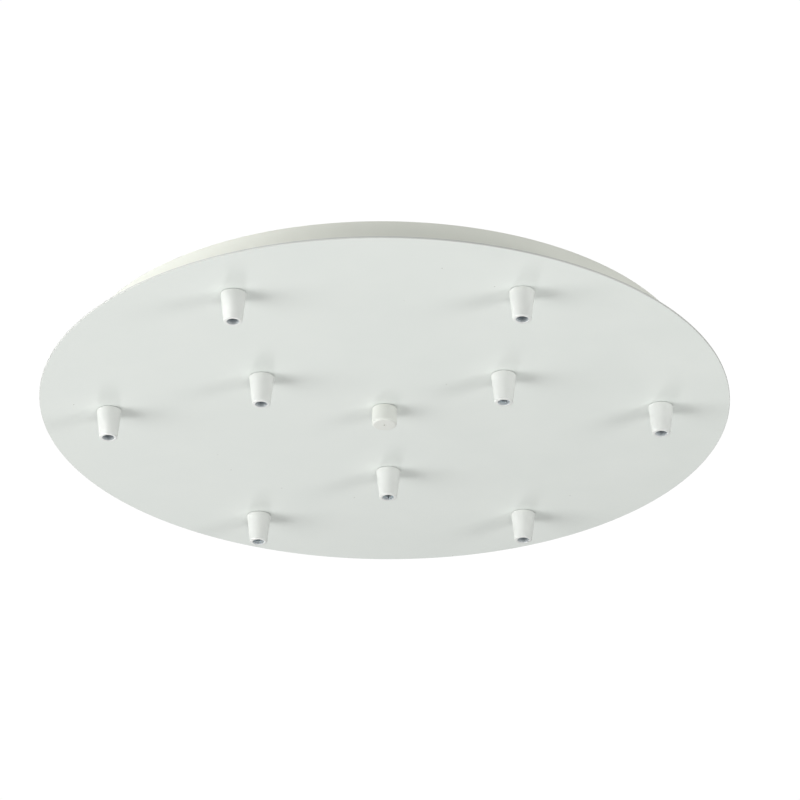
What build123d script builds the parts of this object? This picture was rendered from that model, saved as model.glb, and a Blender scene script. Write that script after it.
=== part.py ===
from build123d import *
import math
import os

# A round ceiling canopy for nine pendants, in millimetres, as it hangs. The ceiling is
# the plane Z = 0 and everything hangs below it, so the levels are negative. The canopy's
# axis is the Z axis, and the ceiling bracket runs along X.

# Plays, radial: between a thread and its nut, and round what passes a clearance hole
thread_play = 0.05
hole_play = 0.3

# Drum: a rolled ring of thin sheet, its inward flange spot-welded to the face plate
drum_d = 450
drum_t = 1
drum_flange_w = 14
drum_bend_r = 1.5

# Face plate: the flat steel disc that shows from below, and how far it passes the drum
plate_overhang = 25
plate_t = 1.5
plate_edge_r = 0.35

# Places of the cord grips: a hexagon inside the drum, and a triangle half its size
ring_inset = 25
outer_count = 6
inner_count = 3
inner_start = 90

# Fine-threaded tube for the nine nipples and the centre rod, with its nuts and washers
tube_d = 10
tube_bore_d = 7
tube_chamfer = 0.5
tube_proud = 2.5
nut_flats = 14
nut_h = 4
nut_crown_deg = 30
washer_d = 18
washer_t = 1

# Cord grip cap: a moulded cone that screws up to the plate
cap_base_d = 18
cap_tip_d = 13
cap_h = 22
cap_base_r = 0.4
cap_tip_r = 0.8
mouth_d = 8.8
mouth_land = 2
mouth_chamfer = 0.2
cap_cone_h = 6

# Split insert: two jaws that the cap's inner cone closes on a cord. With no cord in it, an
# insert is free to turn, and to stick up at the nipple or drop on to the cone
insert_collar_h = 1
insert_nose_h = 0.5
insert_travel = 3.5
insert_bore_d = 5.6
insert_lead = 0.6
insert_ring_h = 2
slit_w = 0.9
jaw_turns = (0, 8, -12, -5, 3, 10, 90, 20, 48)
dropped_inserts = (3, 7, 9)

# Centre cap nut: turned steel, closed at its lower end
cap_nut_d = 18
cap_nut_h = 13.4
cap_nut_rim_r = 1.6
cap_nut_floor = 2.8
cap_nut_chamfer = 0.4
centre_mark_d = 1.6
centre_mark_depth = 1.4
centre_mark_tip = 0.5
rod_floor_gap = 0.6

# Ceiling bracket: a strap with its middle set down to clear the rod's upper nut
bracket_len = 220
bracket_w = 30
bracket_t = 2
bracket_mid_len = 120
bracket_bend_r = 2.5
bracket_corner_r = 4
ceiling_gap = 2.5
slot_len = 24
slot_w = 5.5
slot_end = 20

# Terminal block: moulded housing, brass sleeves, clamping screws and fixing screws
pole_count = 3
pole_pitch = 11
block_w = 20
block_base_h = 8.4
block_h = 12.4
block_below_gap = 2.6
block_edge_r = 0.6
notch_w = 1.6
notch_len = 4
tower_d = 6.6
tower_spacing = 10.6
sleeve_d = 5.4
sleeve_bore_d = 3.4
sleeve_inset = 1.2
sleeve_axis_h = 4.4
clamp_screw_d = 3
clamp_head_d = 4.2
clamp_head_h = 1.8
clamp_recess = 1
clamp_gap = 1.4
fixing_screw_d = 3
fixing_head_d = 5.4
fixing_head_h = 2
fixing_proud = 1

# Slots and rounded rims of all the screw heads
screw_slot_w = 0.8
screw_slot_depth = 0.9
screw_rim_r = 0.5

# Earth connections: a screw in the bracket, and a stud welded to the plate
earth_screw_d = 4
earth_screw_proud = 3
earth_head_d = 7.6
earth_head_h = 2.6
earth_washer_d = 9
earth_washer_t = 0.8
earth_nut_flats = 7
earth_nut_h = 3.2
earth_stud_proud = 1.6

# What follows from those, across: the plate and both rings of grips go by the drum
plate_d = drum_d + 2 * plate_overhang
outer_ring_d = drum_d - 2 * ring_inset
inner_ring_d = outer_ring_d / 2
tube_r = tube_d / 2
nut_bore_r = tube_r + thread_play
tube_hole_r = tube_r + hole_play
earth_hole_r = earth_screw_d / 2 + thread_play

# And down from the ceiling: the drum is as deep as what it has to hide
bracket_drop = nut_h + tube_proud + ceiling_gap
bracket_top = -bracket_drop
bracket_low = bracket_top - bracket_t
block_low = bracket_low - block_h
plate_top = block_low - block_below_gap
plate_low = plate_top - plate_t
down = Vector(0, 0, -1)

# Depths inside a cord grip, from the plate: the insert moves between nipple and cone
cone_start = cap_h - mouth_land - cap_cone_h
nipple_reach = cone_start - insert_collar_h - insert_travel

# And inside the cap nut, where the rod ends short of the floor
cap_nut_depth = cap_nut_h - cap_nut_floor
rod_reach = cap_nut_depth - rod_floor_gap

# Along X, the terminal block stands midway between the rod's nut and the bend of the
# bracket, the earth screw opposite it, and the earth stud midway from bracket to grip
block_x = (nut_flats / 2 + bracket_mid_len / 2) / 2
ramp_end = bracket_mid_len / 2 + bracket_drop
slot_spacing = bracket_len - 2 * slot_end
centre = [(0, 0)]
earth_place = [(-block_x, 0)]
stud_place = [((bracket_len + outer_ring_d) / 4, 0)]


def ring_places(diameter, count, start):
    """Centres evenly spaced round the canopy's axis"""
    angles = [math.radians(start + 360 * step / count) for step in range(count)]
    return [(diameter / 2 * math.cos(a), diameter / 2 * math.sin(a)) for a in angles]


grip_places = ring_places(outer_ring_d, outer_count, 0)
grip_places += ring_places(inner_ring_d, inner_count, inner_start)


# Places in the terminal block, along X: its poles and the gaps between them
pole_xs = [block_x + pole_pitch * (pole - (pole_count - 1) / 2) for pole in range(pole_count)]
gap_xs = [x + pole_pitch / 2 for x in pole_xs[:-1]]
sleeve_places = [(x, bracket_low - sleeve_axis_h) for x in pole_xs]
tower_places = [(x, side * tower_spacing / 2) for x in pole_xs for side in (-1, 1)]
notch_places = [(x, side * block_w / 2) for x in gap_xs for side in (-1, 1)]
gap_places = [(x, 0) for x in gap_xs]
clamp_seat = block_low + clamp_recess + clamp_head_h
clamp_tip = bracket_low - sleeve_axis_h + sleeve_bore_d / 2 - clamp_gap


def hanging_profile(x, y, level):
    """Plane of a turned profile: its x is the radius, its y the depth under the level"""
    return Plane(origin=(x, y, level), x_dir=(1, 0, 0), z_dir=(0, 1, 0))


def hex_nuts(places, level, flats, height, bore_r):
    """Hexagon nuts on the level, their corners turned off to a crown on both faces"""
    corner_r = flats / math.sqrt(3)
    crown_h = (corner_r - flats / 2) * math.tan(math.radians(nut_crown_deg))
    with BuildPart() as nuts:
        with BuildSketch(Plane.XY.offset(level)):
            with Locations(*places):
                RegularPolygon(flats / 2, 6, major_radius=False)
                Circle(bore_r, mode=Mode.SUBTRACT)
        extrude(amount=height)
        for x, y in places:
            for face_depth, inward in ((0, 1), (height, -1)):
                with BuildSketch(hanging_profile(x, y, level + height)):
                    with BuildLine():
                        Polyline(
                            (flats / 2, face_depth),
                            (corner_r, face_depth),
                            (corner_r, face_depth + inward * crown_h),
                            close=True,
                        )
                    make_face()
                revolve(axis=Axis((x, y, level), down), mode=Mode.SUBTRACT)
    return nuts.part


def plain_washers(places, level, outer_d, thickness, bore_r):
    """Flat rings lying on the level"""
    with BuildPart() as washers:
        with BuildSketch(Plane.XY.offset(level)):
            with Locations(*places):
                Circle(outer_d / 2)
                Circle(bore_r, mode=Mode.SUBTRACT)
        extrude(amount=thickness)
    return washers.part


def threaded_tubes(places, top, bottom):
    """Lengths of the hollow threaded tube, chamfered at both ends"""
    with BuildPart() as tubes:
        with BuildSketch(Plane.XY.offset(bottom)):
            with Locations(*places):
                Circle(tube_r)
                Circle(tube_bore_d / 2, mode=Mode.SUBTRACT)
        extrude(amount=top - bottom)
        outer_rims = tubes.edges().filter_by(GeomType.CIRCLE).group_by(SortBy.RADIUS)[-1]
        chamfer(outer_rims, tube_chamfer)
    return tubes.part


def slotted_screws(places, seat, shank_d, shank_len, head_d, head_h):
    """Screws driven from below: the head hangs under the seat, the shank rises from it"""
    with BuildPart() as screws:
        for x, y in places:
            with BuildSketch(hanging_profile(x, y, seat)) as half:
                with BuildLine():
                    Polyline(
                        (0, -shank_len),
                        (shank_d / 2, -shank_len),
                        (shank_d / 2, 0),
                        (head_d / 2, 0),
                        (head_d / 2, head_h),
                        (0, head_h),
                        close=True,
                    )
                make_face()
                rim = half.vertices().group_by(Axis.Y)[-1].sort_by(Axis.X)[-1]
                fillet(rim, screw_rim_r)
            revolve(axis=Axis((x, y, seat), down))
        with BuildSketch(Plane.XY.offset(seat - head_h)):
            with Locations(*places):
                Rectangle(head_d, screw_slot_w)
        extrude(amount=screw_slot_depth, mode=Mode.SUBTRACT)
    return screws.part


def cord_grip_cap(x, y):
    """Cone with a threaded bore, an inner cone that works the jaws, and an open mouth"""
    with BuildPart() as cap:
        with BuildSketch(hanging_profile(x, y, plate_low)) as half:
            with BuildLine():
                Polyline(
                    (nut_bore_r + tube_chamfer, 0),
                    (cap_base_d / 2, 0),
                    (cap_tip_d / 2, cap_h),
                    (mouth_d / 2 + mouth_chamfer, cap_h),
                    (mouth_d / 2, cap_h - mouth_chamfer),
                    (mouth_d / 2, cap_h - mouth_land),
                    (nut_bore_r, cone_start),
                    (nut_bore_r, tube_chamfer),
                    close=True,
                )
            make_face()
            fillet(half.vertices().sort_by(Axis.X)[-1], cap_base_r)
            fillet(half.vertices().group_by(Axis.Y)[-1].sort_by(Axis.X)[-1], cap_tip_r)
        revolve(axis=Axis((x, y, plate_low), down))
    return cap.part


def split_insert(x, y, turn, root):
    """Bush between nipple and cone, slit right across into two tapered jaws"""
    cone_end = root + insert_collar_h + cap_cone_h
    tip = cone_end + insert_nose_h
    bore_r = insert_bore_d / 2
    tip_r = mouth_d / 2 - thread_play
    with BuildPart() as insert:
        with BuildSketch(hanging_profile(x, y, plate_low)):
            with BuildLine():
                Polyline(
                    (bore_r + insert_lead, root),
                    (tube_r, root),
                    (tube_r, root + insert_collar_h),
                    (tip_r, cone_end),
                    (tip_r, tip),
                    (bore_r + insert_lead, tip),
                    (bore_r, tip - insert_lead),
                    (bore_r, root + insert_lead),
                    close=True,
                )
            make_face()
        revolve(axis=Axis((x, y, plate_low), down))
        with BuildSketch(Plane.XY.offset(plate_low - root - insert_ring_h)):
            with Locations((x, y)):
                Rectangle(tube_d, slit_w, rotation=turn)
        extrude(amount=-tip, mode=Mode.SUBTRACT)
    return insert.part


# Face plate, with a clearance hole for each nipple and for the centre rod
with BuildPart() as face_plate:
    with BuildSketch(Plane.XY.offset(plate_low)):
        Circle(plate_d / 2)
        with Locations((0, 0), *grip_places):
            Circle(tube_hole_r, mode=Mode.SUBTRACT)
    extrude(amount=plate_t)
    rims = face_plate.edges().filter_by(GeomType.CIRCLE).group_by(SortBy.RADIUS)[-1]
    fillet(rims, plate_edge_r)

# Drum, from the ceiling down to its flange on the plate
with BuildPart() as drum:
    with BuildSketch(hanging_profile(0, 0, 0)) as drum_section:
        with BuildLine():
            Polyline(
                (drum_d / 2 - drum_t, 0),
                (drum_d / 2, 0),
                (drum_d / 2, -plate_top),
                (drum_d / 2 - drum_flange_w, -plate_top),
                (drum_d / 2 - drum_flange_w, -plate_top - drum_t),
                (drum_d / 2 - drum_t, -plate_top - drum_t),
                close=True,
            )
        make_face()
        bends = drum_section.vertices().group_by(Axis.Y)
        fillet(bends[-1].sort_by(Axis.X)[-1], drum_bend_r + drum_t)
        fillet(bends[-2].sort_by(Axis.X)[-1], drum_bend_r)
    revolve(axis=Axis.Z)

# Ceiling bracket: feet against the ceiling, middle set down by two 45 degree joggles
with BuildPart() as ceiling_bracket:
    with BuildSketch(Plane.XZ):
        with BuildLine():
            FilletPolyline(
                (-bracket_len / 2, 0),
                (-ramp_end, 0),
                (-bracket_mid_len / 2, bracket_top),
                (bracket_mid_len / 2, bracket_top),
                (ramp_end, 0),
                (bracket_len / 2, 0),
                radius=bracket_bend_r,
            )
            offset(amount=bracket_t, side=Side.RIGHT, closed=True)
        make_face()
    extrude(amount=bracket_w / 2, both=True)
    end_corners = ceiling_bracket.edges().filter_by(Axis.Z).group_by(Axis.X)
    fillet(end_corners[0] + end_corners[-1], bracket_corner_r)
    with BuildSketch(Plane.XY):
        with Locations((-slot_spacing / 2, 0), (slot_spacing / 2, 0)):
            SlotOverall(slot_len, slot_w)
    extrude(amount=-bracket_t, mode=Mode.SUBTRACT)
    with BuildSketch(Plane.XY.offset(bracket_top)):
        Circle(tube_hole_r)
        with Locations(*earth_place):
            Circle(earth_hole_r)
        with Locations(*gap_places):
            Circle(fixing_screw_d / 2 + thread_play)
    extrude(amount=-bracket_t, mode=Mode.SUBTRACT)

# Centre rod, locked to the bracket by a nut above it and a nut below it
rod_top = bracket_top + nut_h + tube_proud
centre_rod = threaded_tubes(centre, rod_top, plate_low - rod_reach)
rod_nut_upper = hex_nuts(centre, bracket_top, nut_flats, nut_h, nut_bore_r)
rod_nut_lower = hex_nuts(centre, bracket_low - nut_h, nut_flats, nut_h, nut_bore_r)

# Cap nut: blind threaded bore, rounded lower rim and the drilled mark of the lathe's centre
with BuildPart() as cap_nut:
    with BuildSketch(hanging_profile(0, 0, plate_low)) as cap_nut_half:
        with BuildLine():
            Polyline(
                (nut_bore_r + cap_nut_chamfer, 0),
                (cap_nut_d / 2 - cap_nut_chamfer, 0),
                (cap_nut_d / 2, cap_nut_chamfer),
                (cap_nut_d / 2, cap_nut_h),
                (centre_mark_d / 2, cap_nut_h),
                (centre_mark_d / 2, cap_nut_h - centre_mark_depth),
                (0, cap_nut_h - centre_mark_depth - centre_mark_tip),
                (0, cap_nut_depth),
                (nut_bore_r, cap_nut_depth),
                (nut_bore_r, cap_nut_chamfer),
                close=True,
            )
        make_face()
        lower_rim = cap_nut_half.vertices().group_by(Axis.Y)[-1].sort_by(Axis.X)[-1]
        fillet(lower_rim, cap_nut_rim_r)
    revolve(axis=Axis.Z)

# Terminal housing: a slab notched between its poles, with a tower over each screw
with BuildPart() as terminal_housing:
    with BuildSketch(Plane.XY.offset(bracket_low)) as slab:
        with Locations((block_x, 0)):
            Rectangle(pole_count * pole_pitch, block_w)
        with Locations(*notch_places):
            Rectangle(notch_w, 2 * notch_len, mode=Mode.SUBTRACT)
        fillet(slab.vertices(), block_edge_r)
        with Locations(*gap_places):
            Circle(fixing_screw_d / 2 + hole_play, mode=Mode.SUBTRACT)
    extrude(amount=-block_base_h)
    with BuildSketch(Plane.XY.offset(bracket_low - block_base_h)):
        with Locations(*tower_places):
            Circle(tower_d / 2)
    extrude(amount=block_base_h - block_h)
    with BuildSketch(Plane.XY.offset(bracket_low - sleeve_axis_h)):
        with Locations(*tower_places):
            Circle(clamp_head_d / 2 + hole_play)
    extrude(amount=sleeve_axis_h - block_h, mode=Mode.SUBTRACT)
    with BuildSketch(Plane.XZ):
        with Locations(*sleeve_places):
            Circle(sleeve_d / 2 + thread_play)
    extrude(amount=block_w / 2, both=True, mode=Mode.SUBTRACT)

# Terminal sleeves: brass tubes, each tapped from below for its two clamping screws
with BuildPart() as terminal_sleeves:
    with BuildSketch(Plane.XZ):
        with Locations(*sleeve_places):
            Circle(sleeve_d / 2)
            Circle(sleeve_bore_d / 2, mode=Mode.SUBTRACT)
    extrude(amount=block_w / 2 - sleeve_inset, both=True)
    with BuildSketch(Plane.XY.offset(clamp_tip)):
        with Locations(*tower_places):
            Circle(clamp_screw_d / 2 + thread_play)
    extrude(amount=-sleeve_d, mode=Mode.SUBTRACT)

# Screws of the block: six that clamp the wires, two that hold the housing to the strap
fixing_seat = bracket_low - block_base_h
fixing_tip = bracket_top + fixing_proud
terminal_screws = slotted_screws(
    tower_places, clamp_seat, clamp_screw_d, clamp_tip - clamp_seat, clamp_head_d, clamp_head_h
)
fixing_screws = slotted_screws(
    gap_places,
    fixing_seat,
    fixing_screw_d,
    fixing_tip - fixing_seat,
    fixing_head_d,
    fixing_head_h,
)

# Earth screw, driven up through its washer into the bracket
earth_seat = bracket_low - earth_washer_t
bracket_earth_washer = plain_washers(
    earth_place, earth_seat, earth_washer_d, earth_washer_t, earth_hole_r
)
bracket_earth_screw = slotted_screws(
    earth_place,
    earth_seat,
    earth_screw_d,
    bracket_top + earth_screw_proud - earth_seat,
    earth_head_d,
    earth_head_h,
)

# Earth stud, welded to the inside of the plate, with its washer and nut
stud_len = earth_washer_t + earth_nut_h + earth_stud_proud
with BuildPart() as plate_earth_stud:
    with BuildSketch(Plane.XY.offset(plate_top)):
        with Locations(*stud_place):
            Circle(earth_screw_d / 2)
    extrude(amount=stud_len)
    chamfer(plate_earth_stud.edges().group_by(Axis.Z)[-1], tube_chamfer)
plate_earth_washer = plain_washers(
    stud_place, plate_top, earth_washer_d, earth_washer_t, earth_hole_r
)
plate_earth_nut = hex_nuts(
    stud_place, plate_top + earth_washer_t, earth_nut_flats, earth_nut_h, earth_hole_r
)

# Fixings of the cord grips, one group of solids for each kind
nut_level = plate_top + washer_t
grip_washers = plain_washers(grip_places, plate_top, washer_d, washer_t, tube_hole_r)
grip_nuts = hex_nuts(grip_places, nut_level, nut_flats, nut_h, nut_bore_r)
nipple_top = nut_level + nut_h + tube_proud
grip_nipples = threaded_tubes(grip_places, nipple_top, plate_low - nipple_reach)

pieces = {
    "face_plate": face_plate.part,
    "drum": drum.part,
    "grip_washers": grip_washers,
    "grip_nuts": grip_nuts,
    "grip_nipples": grip_nipples,
    "centre_cap_nut": cap_nut.part,
    "centre_rod": centre_rod,
    "rod_nut_upper": rod_nut_upper,
    "rod_nut_lower": rod_nut_lower,
    "ceiling_bracket": ceiling_bracket.part,
    "terminal_housing": terminal_housing.part,
    "terminal_sleeves": terminal_sleeves.part,
    "terminal_screws": terminal_screws,
    "terminal_fixing_screws": fixing_screws,
    "bracket_earth_screw": bracket_earth_screw,
    "bracket_earth_washer": bracket_earth_washer,
    "plate_earth_stud": plate_earth_stud.part,
    "plate_earth_washer": plate_earth_washer,
    "plate_earth_nut": plate_earth_nut,
}
for number, (place, turn) in enumerate(zip(grip_places, jaw_turns), start=1):
    pieces[f"cord_grip_cap_{number}"] = cord_grip_cap(*place)
    insert_depth = nipple_reach + (insert_travel if number in dropped_inserts else 0)
    pieces[f"cord_grip_insert_{number}"] = split_insert(*place, turn, insert_depth)

os.makedirs("parts", exist_ok=True)
for name, piece in pieces.items():
    piece.label = name
    export_step(piece, f"parts/{name}.step")
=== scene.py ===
import math

import bmesh
import bpy
from mathutils import Matrix, Vector


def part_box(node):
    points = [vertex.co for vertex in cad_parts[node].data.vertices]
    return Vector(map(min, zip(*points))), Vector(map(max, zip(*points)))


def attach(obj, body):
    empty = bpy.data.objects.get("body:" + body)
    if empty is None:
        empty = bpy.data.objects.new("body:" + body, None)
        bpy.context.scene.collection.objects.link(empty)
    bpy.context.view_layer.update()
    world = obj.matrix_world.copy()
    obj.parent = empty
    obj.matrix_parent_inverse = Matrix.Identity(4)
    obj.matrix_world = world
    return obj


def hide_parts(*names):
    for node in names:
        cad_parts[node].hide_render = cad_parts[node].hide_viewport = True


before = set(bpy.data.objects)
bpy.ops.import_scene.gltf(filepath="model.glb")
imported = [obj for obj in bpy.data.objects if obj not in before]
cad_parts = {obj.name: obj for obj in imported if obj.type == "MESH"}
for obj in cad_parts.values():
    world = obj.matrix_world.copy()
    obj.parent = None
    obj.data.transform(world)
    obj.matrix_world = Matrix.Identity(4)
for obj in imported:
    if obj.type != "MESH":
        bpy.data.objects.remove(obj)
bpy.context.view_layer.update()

# The studio is a white cove with soft boxes round the canopy: three large ones on the left,
# small ones on the right, behind, in front and level with the drum, and one overhead for its
# inside. The canopy hangs from its ceiling face at Z = 0, and the camera looks up from far off.
plate_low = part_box("face_plate")[0].z
plate_middle = Vector((0, 0, plate_low))
camera_distance = 3.482
camera_below = math.radians(27.663)
camera_round = math.radians(1.765)
camera_roll = math.radians(0.295)
camera_lens = 216.09
aim_right = 0.0111
aim_up = 0.0065
cove_light = 0.27
cove_seen = 1.02
floor_level = -6
floor_radius = 80


def linear(hex_colour):
    """Turns an sRGB hex colour to a linear one"""
    parts = [int(hex_colour[start:start + 2], 16) / 255 for start in (1, 3, 5)]
    return [p / 12.92 if p <= 0.04045 else ((p + 0.055) / 1.055) ** 2.4 for p in parts] + [1]


def add_node(tree, kind, settings={}, links={}):
    """Adds a node, sets its properties and sockets, and links the sockets that are fed"""
    node = tree.nodes.new(kind)
    for name, value in settings.items():
        if isinstance(name, int) or name in node.inputs:
            node.inputs[name].default_value = value
        else:
            setattr(node, name, value)
    for name, source in links.items():
        tree.links.new(source, node.inputs[name])
    return node


def new_material(name, sockets):
    """Starts a material with what is the same all over set on its shader's own sockets"""
    material = bpy.data.materials.new(name)
    material.use_nodes = True
    shader = material.node_tree.nodes["Principled BSDF"]
    for socket, value in sockets.items():
        shader.inputs[socket].default_value = value
    return material, material.node_tree, shader


merge_distance = 1e-6
sharp_edge = math.radians(32)


def finished_object(name, work, material):
    """Closes a bmesh and makes it an object at the origin, with its real edges sharp"""
    bmesh.ops.remove_doubles(work, verts=work.verts, dist=merge_distance)
    bmesh.ops.recalc_face_normals(work, faces=work.faces)
    mesh = bpy.data.meshes.new(name)
    work.to_mesh(mesh)
    work.free()
    mesh.shade_smooth()
    mesh.set_sharp_from_angle(angle=sharp_edge)
    mesh.materials.append(material)
    piece = bpy.data.objects.new(name, mesh)
    bpy.context.collection.objects.link(piece)
    normals = piece.modifiers.new("flat_faces_stay_flat", "WEIGHTED_NORMAL")
    normals.keep_sharp = True
    return piece


across = Vector((math.cos(camera_round), math.sin(camera_round), 0))
inward = Vector((
    -math.sin(camera_round) * math.cos(camera_below),
    math.cos(camera_round) * math.cos(camera_below),
    math.sin(camera_below),
))
eye = plate_middle - camera_distance * inward
aim = plate_middle + aim_right * across + aim_up * across.cross(inward)
ahead = (aim - eye).normalized()
level_right = ahead.cross(Vector((0, 0, 1))).normalized()
level_up = level_right.cross(ahead)
right = math.cos(camera_roll) * level_right + math.sin(camera_roll) * level_up
up = right.cross(ahead)
camera_data = bpy.data.cameras.new("camera")
camera_data.lens = camera_lens
camera_data.sensor_width = 36
camera_data.clip_end = 500
camera = bpy.data.objects.new("camera", camera_data)
bpy.context.collection.objects.link(camera)
camera.matrix_world = Matrix.Translation(eye) @ Matrix((right, up, -ahead)).transposed().to_4x4()
bpy.context.scene.camera = camera
bpy.context.scene.view_settings.view_transform = "Standard"

# Each lamp by its degrees round from +X and up from the plate, its distance, width, height
# and power
for name, degrees_round, degrees_up, distance, width, height, watts in (
    ("softbox_left_far", 188, -15, 3.2, 2.0, 2.0, 34.5),
    ("softbox_left_low", 195, -48, 3.2, 1.1, 0.9, 18),
    ("softbox_left_near", 202, -20, 2.4, 1.9, 1.7, 25),
    ("lamp_right", -30, -19, 1.4, 0.5, 0.5, 6.5),
    ("lamp_behind", 100, -38, 2.6, 0.35, 1.3, 7.5),
    ("lamp_in_front", 300, -62, 1.8, 0.4, 0.8, 5.1),
    ("lamp_on_drum", 228, 10, 1.8, 0.35, 0.35, 6.4),
    ("lamp_overhead", 90, 82, 2.6, 3.0, 2.6, 44),
):
    lamp_data = bpy.data.lights.new(name, "AREA")
    lamp_data.shape = "RECTANGLE"
    lamp_data.size = width
    lamp_data.size_y = height
    lamp_data.energy = watts
    level_length = distance * math.cos(math.radians(degrees_up))
    place = Vector((
        level_length * math.cos(math.radians(degrees_round)),
        level_length * math.sin(math.radians(degrees_round)),
        distance * math.sin(math.radians(degrees_up)),
    ))
    lamp = bpy.data.objects.new(name, lamp_data)
    lamp.location = plate_middle + place
    lamp.rotation_euler = (-place).to_track_quat("-Z", "Y").to_euler()
    lamp.visible_camera = False
    bpy.context.collection.objects.link(lamp)

cove = bpy.data.worlds.new("white_cove")
cove.use_nodes = True
cove.node_tree.nodes.clear()
seen = add_node(cove.node_tree, "ShaderNodeLightPath")
brightness = add_node(
    cove.node_tree, "ShaderNodeMapRange",
    {"To Min": cove_light, "To Max": cove_seen}, {"Value": seen.outputs["Is Camera Ray"]},
)
cove_wall = add_node(
    cove.node_tree, "ShaderNodeBackground",
    {"Color": linear("#FFFFFF")}, {"Strength": brightness.outputs["Result"]},
)
add_node(cove.node_tree, "ShaderNodeOutputWorld", {}, {"Surface": cove_wall.outputs[0]})
bpy.context.scene.world = cove

floor_paint, tree, shader = new_material("matt_wall_paint", {"Roughness": 0.9})
where = add_node(tree, "ShaderNodeTexCoord").outputs["Object"]
clouds = add_node(tree, "ShaderNodeTexNoise", {"Scale": 0.8, "Detail": 3}, {"Vector": where})
paint_tone = add_node(
    tree, "ShaderNodeMix",
    {"data_type": "RGBA", "A": linear("#EDEDEA"), "B": linear("#F1F1EF")},
    {"Factor": clouds.outputs["Fac"]},
)
tree.links.new(paint_tone.outputs["Result"], shader.inputs["Base Color"])
floor_work = bmesh.new()
bmesh.ops.create_circle(floor_work, cap_ends=True, segments=96, radius=floor_radius)
bmesh.ops.translate(floor_work, verts=floor_work.verts, vec=(0, 0, floor_level))
finished_object("floor", floor_work, floor_paint)

# The ceiling bracket is a strap cut and joggled from zinc-plated steel strip, and two screws
# through its slots hold it to the ceiling. The press leaves it as it came off the roll.
zinc, tree, shader = new_material("zinc_plated_steel", {"Metallic": 1.0})
# Bright zinc with clear chromate: a bluish grey that clouds over a few millimetres, and
# drawing lines 0.3 mm apart along X, kept coarse enough to show
where = add_node(tree, "ShaderNodeTexCoord").outputs["Object"]
clouds = add_node(tree, "ShaderNodeTexNoise", {"Scale": 1 / 0.004, "Detail": 4}, {"Vector": where})
tone = add_node(
    tree, "ShaderNodeMix",
    {"data_type": "RGBA", "A": linear("#A9AEB4"), "B": linear("#C9CBC9")},
    {"Factor": clouds.outputs["Fac"]},
)
dullness = add_node(
    tree, "ShaderNodeMapRange", {"To Min": 0.26, "To Max": 0.46}, {"Value": clouds.outputs["Fac"]}
)
drawn = add_node(tree, "ShaderNodeMapping", {"Scale": (0.04, 1, 1)}, {"Vector": where})
lines = add_node(
    tree, "ShaderNodeTexNoise", {"Scale": 1 / 0.0003, "Detail": 2},
    {"Vector": drawn.outputs["Vector"]},
)
relief = add_node(
    tree, "ShaderNodeBump", {"Strength": 0.5, "Distance": 0.000006},
    {"Height": lines.outputs["Fac"]},
)
tree.links.new(tone.outputs["Result"], shader.inputs["Base Color"])
tree.links.new(dullness.outputs["Result"], shader.inputs["Roughness"])
tree.links.new(relief.outputs["Normal"], shader.inputs["Normal"])
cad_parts["ceiling_bracket"].material_slots[0].material = zinc

# The centre rod is a length of hollow M10 x 1 tube, rolled with its thread and then plated.
# Two hexagon nuts, one above the bracket and one below it, hold it upright.
thread_pitch = 0.001
# A 60-degree thread has this height, and one pitch of it is a flat root, a flank, a flat crest
# and a flank, given as shares of the pitch
thread_height = 0.61343 * thread_pitch
root_end = 0.17
crest_start = 0.52
crest_end = 0.65
tube_radius = 0.005
tube_bore = 0.0035
tube_chamfer = 0.0005
turn_steps = 48


def threaded_tube(work, bottom, top):
    """Winds a thread past both ends of a tube on the Z axis, trims and chamfers it, and bores it"""
    turns = round((top - bottom) / thread_pitch) + 3
    start = bottom - 1.5 * thread_pitch
    root = tube_radius - thread_height
    profile = (
        (root, 0), (root, root_end), (tube_radius, crest_start), (tube_radius, crest_end), (root, 1)
    )
    outline = [
        work.verts.new((radius, 0, start + share * thread_pitch)) for radius, share in profile
    ]
    for lower, upper in zip(outline, outline[1:]):
        work.edges.new((lower, upper))
    bmesh.ops.spin(
        work, geom=work.verts[:] + work.edges[:], cent=(0, 0, 0), axis=(0, 0, 1),
        dvec=(0, 0, thread_pitch / turn_steps), angle=2 * math.pi * turns,
        steps=turn_steps * turns, use_merge=False, use_duplicate=False,
    )
    bmesh.ops.remove_doubles(work, verts=work.verts, dist=merge_distance)
    for level, outward in ((bottom, -1), (top, 1)):
        bmesh.ops.bisect_plane(
            work, geom=work.verts[:] + work.edges[:] + work.faces[:], dist=1e-7,
            plane_co=(0, 0, level), plane_no=(0, 0, outward), clear_outer=True,
        )
    for vert in work.verts:
        end_gap = min(top - vert.co.z, vert.co.z - bottom)
        radius = vert.co.xy.length
        widest = tube_radius - tube_chamfer + end_gap
        if radius > widest:
            vert.co.xy *= widest / radius
    mouth = bmesh.ops.create_circle(work, segments=turn_steps, radius=tube_bore)["verts"]
    bmesh.ops.translate(work, verts=mouth, vec=(0, 0, bottom))
    rim = {edge for vert in mouth for edge in vert.link_edges}
    bore = bmesh.ops.extrude_edge_only(work, edges=list(rim))["geom"]
    bmesh.ops.translate(
        work, verts=[part for part in bore if isinstance(part, bmesh.types.BMVert)],
        vec=(0, 0, top - bottom),
    )
    for level in (bottom, top):
        ring = [
            edge for edge in work.edges
            if edge.is_boundary and all(abs(vert.co.z - level) < merge_distance for vert in edge.verts)
        ]
        bmesh.ops.triangle_fill(work, use_beauty=True, edges=ring)


rod_low, rod_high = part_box("centre_rod")
rod_work = bmesh.new()
threaded_tube(rod_work, rod_low.z, rod_high.z)
rod = finished_object("centre_rod_threaded", rod_work, zinc)
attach(rod, "ceiling_mount")
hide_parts("centre_rod")
for name in ("rod_nut_upper", "rod_nut_lower"):
    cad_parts[name].material_slots[0].material = zinc

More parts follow.
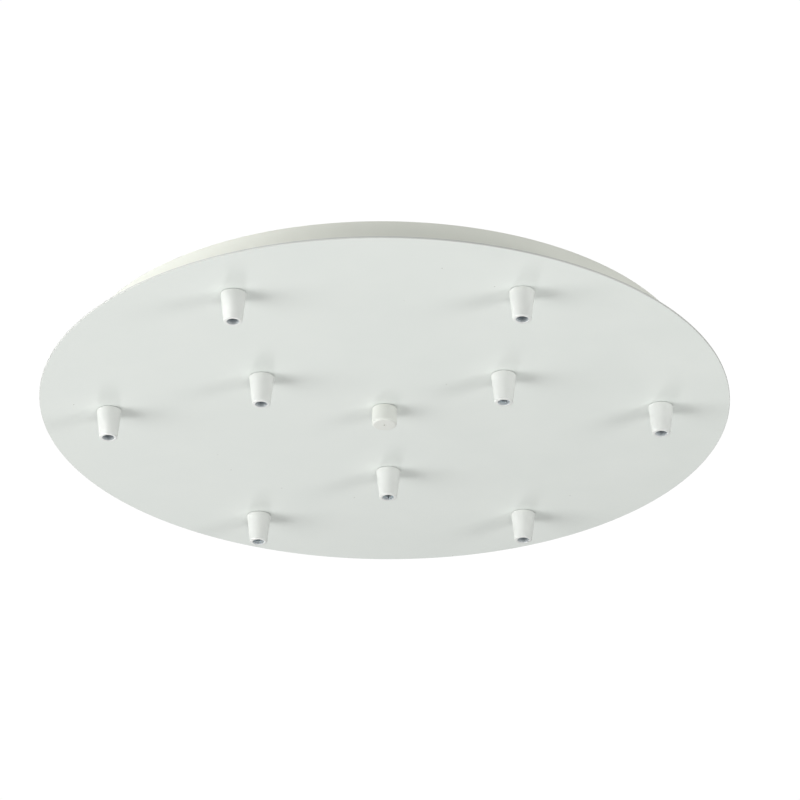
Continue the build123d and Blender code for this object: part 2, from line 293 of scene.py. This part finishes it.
# The terminal block joins the supply to the pendants: a moulding of cream polyamide, three
# brass sleeves in it, and zinc-plated screws that clamp the wires or hold it to the bracket.
polyamide, tree, shader = new_material(
    "moulded_polyamide", {"Roughness": 0.42, "IOR": 1.53, "Subsurface Weight": 0.05}
)
# Natural polyamide yellows unevenly as it takes up water, and has a fine spark-eroded grain
where = add_node(tree, "ShaderNodeTexCoord").outputs["Object"]
clouds = add_node(tree, "ShaderNodeTexNoise", {"Scale": 1 / 0.009, "Detail": 2}, {"Vector": where})
tone = add_node(
    tree, "ShaderNodeMix",
    {"data_type": "RGBA", "A": linear("#E9E5D6"), "B": linear("#F0EDE2")},
    {"Factor": clouds.outputs["Fac"]},
)
grain = add_node(tree, "ShaderNodeTexNoise", {"Scale": 1 / 0.0004, "Detail": 1}, {"Vector": where})
relief = add_node(
    tree, "ShaderNodeBump", {"Strength": 0.4, "Distance": 0.00001}, {"Height": grain.outputs["Fac"]}
)
tree.links.new(tone.outputs["Result"], shader.inputs["Base Color"])
tree.links.new(relief.outputs["Normal"], shader.inputs["Normal"])
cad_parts["terminal_housing"].material_slots[0].material = polyamide

tool_feed = 0.0005
wave_period = math.pi / 10
brass, tree, shader = new_material("turned_brass", {"Metallic": 1.0})
# Cut brass: yellow where the tool left it bright, browner where fingers have been, and
# rings 0.5 mm apart along Y, the way the bar was turned
where = add_node(tree, "ShaderNodeTexCoord").outputs["Object"]
clouds = add_node(tree, "ShaderNodeTexNoise", {"Scale": 1 / 0.003, "Detail": 3}, {"Vector": where})
tone = add_node(
    tree, "ShaderNodeMix",
    {"data_type": "RGBA", "A": linear("#B8934A"), "B": linear("#D6B76E")},
    {"Factor": clouds.outputs["Fac"]},
)
dullness = add_node(
    tree, "ShaderNodeMapRange", {"To Min": 0.36, "To Max": 0.24}, {"Value": clouds.outputs["Fac"]}
)
rings = add_node(
    tree, "ShaderNodeTexWave",
    {
        "wave_type": "BANDS", "bands_direction": "Y",
        "Scale": wave_period / tool_feed, "Distortion": 1.5,
    },
    {"Vector": where},
)
relief = add_node(
    tree, "ShaderNodeBump", {"Strength": 0.4, "Distance": 0.000005}, {"Height": rings.outputs["Fac"]}
)
tree.links.new(tone.outputs["Result"], shader.inputs["Base Color"])
tree.links.new(dullness.outputs["Result"], shader.inputs["Roughness"])
tree.links.new(relief.outputs["Normal"], shader.inputs["Normal"])
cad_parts["terminal_sleeves"].material_slots[0].material = brass
for name in ("terminal_screws", "terminal_fixing_screws"):
    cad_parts[name].material_slots[0].material = zinc

# The earth screw on the bracket and the earth stud on the plate bond both to the supply. They
# are plated steel with a plain washer each, but the washer and nut on the stud are brass.
for name in ("bracket_earth_screw", "bracket_earth_washer", "plate_earth_stud"):
    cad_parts[name].material_slots[0].material = zinc
for name in ("plate_earth_washer", "plate_earth_nut"):
    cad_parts[name].material_slots[0].material = brass

# The drum is a ring of thin steel sheet with its foot rolled inwards. The foot is spot-welded
# to the back of the face plate, and both are powder-coated together. The drum's coat is drawn
# paler and warmer than the plate's, as painted light on the drum wall.
drum_sheet = 0.001
drum_foot = 0.014
drum_bend = 0.0015
ring_steps = 360
coat_drift = 0.05
peel_length = 0.0012
speck_radius = 0.00036
speck_cell = 0.009
speck_share = 0.085


def powder_coat(name, hex_dark, hex_pale):
    """White powder coat on steel: a satin skin that shrinks to a faint orange peel"""
    material, tree, shader = new_material(name, {"IOR": 1.5})
    where = add_node(tree, "ShaderNodeTexCoord").outputs["Object"]
    # The coat's thickness drifts over some 50 mm, which shifts its tone and gloss a little
    drift = add_node(
        tree, "ShaderNodeTexNoise", {"Scale": 1 / coat_drift, "Detail": 2}, {"Vector": where}
    )
    tone = add_node(
        tree, "ShaderNodeMix",
        {"data_type": "RGBA", "A": linear(hex_dark), "B": linear(hex_pale)},
        {"Factor": drift.outputs["Fac"]},
    )
    satin = add_node(
        tree, "ShaderNodeMapRange", {"To Min": 0.46, "To Max": 0.58}, {"Value": drift.outputs["Fac"]}
    )
    # Dust baked into the coat: specks up to 0.7 mm across, in one in twelve of the 9 mm cells
    # that the surface cuts through their middles
    cells = add_node(tree, "ShaderNodeTexVoronoi", {"Scale": 1 / speck_cell}, {"Vector": where})
    near = add_node(
        tree, "ShaderNodeMath", {"operation": "LESS_THAN", 1: speck_radius / speck_cell},
        {0: cells.outputs["Distance"]},
    )
    shade = add_node(tree, "ShaderNodeSeparateColor", {}, {"Color": cells.outputs["Color"]})
    chosen = add_node(
        tree, "ShaderNodeMath", {"operation": "LESS_THAN", 1: speck_share}, {0: shade.outputs["Red"]}
    )
    speck = add_node(
        tree, "ShaderNodeMath", {"operation": "MULTIPLY"}, {0: near.outputs[0], 1: chosen.outputs[0]}
    )
    specked = add_node(
        tree, "ShaderNodeMix", {"data_type": "RGBA", "B": linear("#8C8A82")},
        {"Factor": speck.outputs[0], "A": tone.outputs["Result"]},
    )
    # Orange peel: waves about 1.2 mm long and a few thousandths of a millimetre high
    peel = add_node(
        tree, "ShaderNodeTexNoise", {"Scale": 1 / peel_length, "Detail": 1}, {"Vector": where}
    )
    relief = add_node(
        tree, "ShaderNodeBump", {"Strength": 0.6, "Distance": 0.00001}, {"Height": peel.outputs["Fac"]}
    )
    tree.links.new(specked.outputs["Result"], shader.inputs["Base Color"])
    tree.links.new(satin.outputs["Result"], shader.inputs["Roughness"])
    tree.links.new(relief.outputs["Normal"], shader.inputs["Normal"])
    return material


def turned(outline, roundings, steps, middle=(0, 0)):
    """Rounds the numbered corners of an outline and turns it about an upright axis at the middle"""
    work = bmesh.new()
    corners = [work.verts.new((middle[0] + radius, middle[1], height)) for radius, height in outline]
    work.faces.new(corners)
    for number, size in roundings.items():
        bmesh.ops.bevel(
            work, geom=[corners[number]], affect="VERTICES", offset=size, segments=6, profile=0.5,
            material=-1,
        )
    bmesh.ops.delete(work, geom=work.faces[:], context="FACES_ONLY")
    bmesh.ops.spin(
        work, geom=work.verts[:] + work.edges[:], cent=(middle[0], middle[1], 0), axis=(0, 0, 1),
        angle=2 * math.pi, steps=steps, use_merge=True, use_duplicate=False,
    )
    return work


# The plate's coat in paler, warmer tones: painted light on the drum wall
drum_coat_painted_lighter = powder_coat("powder_coat_on_drum_painted_lighter", "#E8EAE1", "#EFF1E8")
drum_low, drum_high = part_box("drum")
drum_radius = min(drum_high.x, -drum_low.x, drum_high.y, -drum_low.y)
drum_outline = (
    (drum_radius - drum_sheet, drum_high.z), (drum_radius, drum_high.z),
    (drum_radius, drum_low.z), (drum_radius - drum_foot, drum_low.z),
    (drum_radius - drum_foot, drum_low.z + drum_sheet),
    (drum_radius - drum_sheet, drum_low.z + drum_sheet),
)
drum = finished_object(
    "drum_shell", turned(drum_outline, {2: drum_bend + drum_sheet, 5: drum_bend}, ring_steps), drum_coat_painted_lighter
)
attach(drum, "canopy")
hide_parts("drum")

# The face plate is a flat disc stamped from steel sheet, with a hole for each nipple and one
# for the centre rod. Its rim is rounded by tumbling before the powder coat goes on, and the
# coat draws back from it in the oven, so that the steel greys it.
rim_rounding = 0.00035
hole_radius = 0.0053
grip_places = []
for number in range(1, 10):
    grip_low, grip_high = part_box(f"cord_grip_cap_{number}")
    grip_places.append(((grip_low.x + grip_high.x) / 2, (grip_low.y + grip_high.y) / 2))
plate_coat = powder_coat("powder_coat_on_plate", "#DFE4E0", "#E6EAE6")
thin_coat = powder_coat("powder_coat_thin_on_rim", "#CDCFCB", "#D4D6D2")
face_low, face_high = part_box("face_plate")
plate_radius = min(face_high.x, -face_low.x, face_high.y, -face_low.y)
plate_work = bmesh.new()
bmesh.ops.create_circle(plate_work, segments=ring_steps, radius=plate_radius)
for x, y in [(0, 0)] + grip_places:
    hole = bmesh.ops.create_circle(plate_work, segments=turn_steps, radius=hole_radius)["verts"]
    bmesh.ops.translate(plate_work, verts=hole, vec=(x, y, 0))
bmesh.ops.triangle_fill(plate_work, use_beauty=True, edges=plate_work.edges[:])
bmesh.ops.translate(plate_work, verts=plate_work.verts, vec=(0, 0, face_low.z))
back = bmesh.ops.extrude_face_region(plate_work, geom=plate_work.faces[:])["geom"]
bmesh.ops.translate(
    plate_work, verts=[part for part in back if isinstance(part, bmesh.types.BMVert)],
    vec=(0, 0, face_high.z - face_low.z),
)
bmesh.ops.recalc_face_normals(plate_work, faces=plate_work.faces)
rim = [
    edge for edge in plate_work.edges
    if all(vert.co.xy.length > plate_radius - rim_rounding / 2 for vert in edge.verts)
    and abs(edge.verts[0].co.z - edge.verts[1].co.z) < merge_distance
]
bmesh.ops.bevel(
    plate_work, geom=rim, affect="EDGES", offset=rim_rounding, segments=4, profile=0.5, material=-1
)
plate = finished_object("face_disc", plate_work, plate_coat)
plate.data.materials.append(thin_coat)
for face in plate.data.polygons:
    is_tilted = abs(face.normal.z) < 0.99
    if is_tilted and face.center.xy.length > plate_radius - 2 * rim_rounding:
        face.material_index = 1
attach(plate, "canopy")
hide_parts("face_plate")

# Nine nipples cut from the same tube as the rod carry the cord grips through the plate. Each
# is clamped by a plated washer and a hexagon nut on the inside.
nipple_low, nipple_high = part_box("grip_nipples")
nipple_work = bmesh.new()
threaded_tube(nipple_work, nipple_low.z, nipple_high.z)
nipple_mesh = bpy.data.meshes.new("nipple")
nipple_work.to_mesh(nipple_mesh)
nipple_work.free()
nipple_set = bmesh.new()
for x, y in grip_places:
    made = len(nipple_set.verts)
    nipple_set.from_mesh(nipple_mesh)
    bmesh.ops.translate(nipple_set, verts=nipple_set.verts[made:], vec=(x, y, 0))
nipples = finished_object("nipples_threaded", nipple_set, zinc)
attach(nipples, "canopy")
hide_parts("grip_nipples")
for name in ("grip_washers", "grip_nuts"):
    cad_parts[name].material_slots[0].material = zinc

# A split insert lies loose in each grip: a bush of natural nylon, slit into two jaws that the
# cap's inner cone closes on a cord. It shows only inside the mouth of the cap.
nylon, tree, shader = new_material(
    "natural_nylon", {"Roughness": 0.4, "IOR": 1.53, "Subsurface Weight": 0.1}
)
# Unfilled nylon is milky and slightly blue, with faint flow clouds a few millimetres long
where = add_node(tree, "ShaderNodeTexCoord").outputs["Object"]
clouds = add_node(tree, "ShaderNodeTexNoise", {"Scale": 1 / 0.004, "Detail": 2}, {"Vector": where})
tone = add_node(
    tree, "ShaderNodeMix",
    {"data_type": "RGBA", "A": linear("#A3A9AD"), "B": linear("#B6BBBE")},
    {"Factor": clouds.outputs["Fac"]},
)
relief = add_node(
    tree, "ShaderNodeBump", {"Strength": 0.3, "Distance": 0.00002}, {"Height": clouds.outputs["Fac"]}
)
tree.links.new(tone.outputs["Result"], shader.inputs["Base Color"])
tree.links.new(relief.outputs["Normal"], shader.inputs["Normal"])
for number in range(1, 10):
    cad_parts[f"cord_grip_insert_{number}"].material_slots[0].material = nylon

# Nine cord grip caps are white-lacquered cones, and their mouths carry painted shade that fades
# from the pale lip to grey deeper in. Each screws up a nipple to the plate, where the rebate in its
# foot leaves a fine dark line, and the cone inside its tip presses the insert shut.
cap_base = 0.009
cap_tip = 0.0065
cap_height = 0.022
cap_thread = 0.00505
cap_chamfer = 0.0005
cap_mouth = 0.0044
mouth_land = 0.002
mouth_chamfer = 0.0002
cap_cone = 0.006
foot_gap = 0.0004
foot_rebate = 0.001
foot_rounding = 0.0002
tip_rounding = 0.0008
cap_steps = 96
lacquer, tree, shader = new_material("white_lacquer_on_abs", {"IOR": 1.5})
# The lacquer is a clean white, a touch glossier than the plate's coat. It keeps the moulding's
# eroded grain, drawn 0.5 mm wide so that it shows, and is glossier where it went on thick
where = add_node(tree, "ShaderNodeTexCoord").outputs["Object"]
flow = add_node(tree, "ShaderNodeTexNoise", {"Scale": 1 / 0.007, "Detail": 2}, {"Vector": where})
tone = add_node(
    tree, "ShaderNodeMix",
    {"data_type": "RGBA", "A": linear("#DDDFDC"), "B": linear("#E3E5E2")},
    {"Factor": flow.outputs["Fac"]},
)
gloss = add_node(
    tree, "ShaderNodeMapRange", {"To Min": 0.3, "To Max": 0.4}, {"Value": flow.outputs["Fac"]}
)
grain = add_node(tree, "ShaderNodeTexNoise", {"Scale": 1 / 0.0005, "Detail": 1}, {"Vector": where})
relief = add_node(
    tree, "ShaderNodeBump", {"Strength": 0.4, "Distance": 0.000006}, {"Height": grain.outputs["Fac"]}
)
tree.links.new(tone.outputs["Result"], shader.inputs["Base Color"])
tree.links.new(gloss.outputs["Result"], shader.inputs["Roughness"])
tree.links.new(relief.outputs["Normal"], shader.inputs["Normal"])
cap_tip_level = plate_low - cap_height
# Depths into the mouth, from the tip, where the painted shade in the bore turns full grey
full_shade_least = 0.002
full_shade_most = 0.006
bore_painted_shade, tree, shader = new_material("painted_shade_in_cap_bore", {"Roughness": 0.5, "IOR": 1.53})
# Painted shade in the bore: pale at the lip and bluish grey from 2 to 6 mm into the mouth. How far
# the pale reaches differs from one cap to the next, over 100 mm or so, and is cloudy by the millimetre
where = add_node(tree, "ShaderNodeTexCoord").outputs["Object"]
level = add_node(tree, "ShaderNodeSeparateXYZ", {}, {"Vector": where})
shade_reach_drift = add_node(tree, "ShaderNodeTexNoise", {"Scale": 1 / 0.1, "Detail": 0}, {"Vector": where})
clouds = add_node(tree, "ShaderNodeTexNoise", {"Scale": 1 / 0.001, "Detail": 2}, {"Vector": where})
mixed = add_node(
    tree, "ShaderNodeMath", {"operation": "ADD"}, {0: shade_reach_drift.outputs["Fac"], 1: clouds.outputs["Fac"]}
)
full_shade_level = add_node(
    tree, "ShaderNodeMapRange",
    {
        "From Min": 0.6, "From Max": 1.4,
        "To Min": cap_tip_level + full_shade_least, "To Max": cap_tip_level + full_shade_most,
    },
    {"Value": mixed.outputs[0]},
)
shade_share = add_node(
    tree, "ShaderNodeMapRange", {"From Min": cap_tip_level},
    {"Value": level.outputs["Z"], "From Max": full_shade_level.outputs["Result"]},
)
# Pale at the lip, then bluish grey painted shade deeper in the bore
tone = add_node(
    tree, "ShaderNodeMix",
    {"data_type": "RGBA", "A": linear("#E3E7E8"), "B": linear("#A3AAAF")},
    {"Factor": shade_share.outputs["Result"]},
)
tree.links.new(tone.outputs["Result"], shader.inputs["Base Color"])
cap_outline = (
    (cap_thread + cap_chamfer, plate_low), (cap_base - foot_rebate, plate_low),
    (cap_base - foot_rebate, plate_low - foot_gap), (cap_base, plate_low - foot_gap),
    (cap_tip, cap_tip_level), (cap_mouth + mouth_chamfer, cap_tip_level),
    (cap_mouth, cap_tip_level + mouth_chamfer), (cap_mouth, cap_tip_level + mouth_land),
    (cap_thread, cap_tip_level + mouth_land + cap_cone), (cap_thread, plate_low - cap_chamfer),
)
for number, place in enumerate(grip_places, start=1):
    cap_work = turned(cap_outline, {3: foot_rounding, 4: tip_rounding}, cap_steps, place)
    cap = finished_object(f"grip_cap_moulded_{number}", cap_work, lacquer)
    cap.data.materials.append(bore_painted_shade)
    # The faces inside the bore take the painted shade
    for face in cap.data.polygons:
        from_axis = (face.center.xy - Vector(place)).length
        if from_axis < cap_thread + cap_chamfer and face.center.z > cap_tip_level + mouth_chamfer:
            face.material_index = 1
    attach(cap, f"grip_cap_{number}")
    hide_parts(f"cord_grip_cap_{number}")

# The centre cap nut is turned from steel bar with a blind thread, and coated white. It screws
# on the rod's end and carries the whole canopy. The dot in its face is the lathe's centre
# hole, and its foot has the same rebate as the caps.
nut_radius = 0.009
nut_height = 0.0134
nut_thread = 0.00505
nut_depth = 0.0106
nut_chamfer = 0.0004
nut_rounding = 0.0016
centre_hole = 0.0008
centre_hole_depth = 0.0014
centre_hole_tip = 0.0005
nut_coat = powder_coat("powder_coat_on_cap_nut", "#DDDFD9", "#E3E5E0")
nut_outline = (
    (0, plate_low - nut_depth), (nut_thread, plate_low - nut_depth),
    (nut_thread, plate_low - nut_chamfer), (nut_thread + nut_chamfer, plate_low),
    (nut_radius - foot_rebate, plate_low), (nut_radius - foot_rebate, plate_low - foot_gap),
    (nut_radius, plate_low - foot_gap),
    (nut_radius, plate_low - nut_height), (centre_hole, plate_low - nut_height),
    (centre_hole, plate_low - nut_height + centre_hole_depth),
    (0, plate_low - nut_height + centre_hole_depth + centre_hole_tip),
)
nut_work = turned(nut_outline, {6: foot_rounding, 7: nut_rounding}, cap_steps)
cap_nut = finished_object("cap_nut_turned", nut_work, nut_coat)
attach(cap_nut, "cap_nut")
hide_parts("centre_cap_nut")
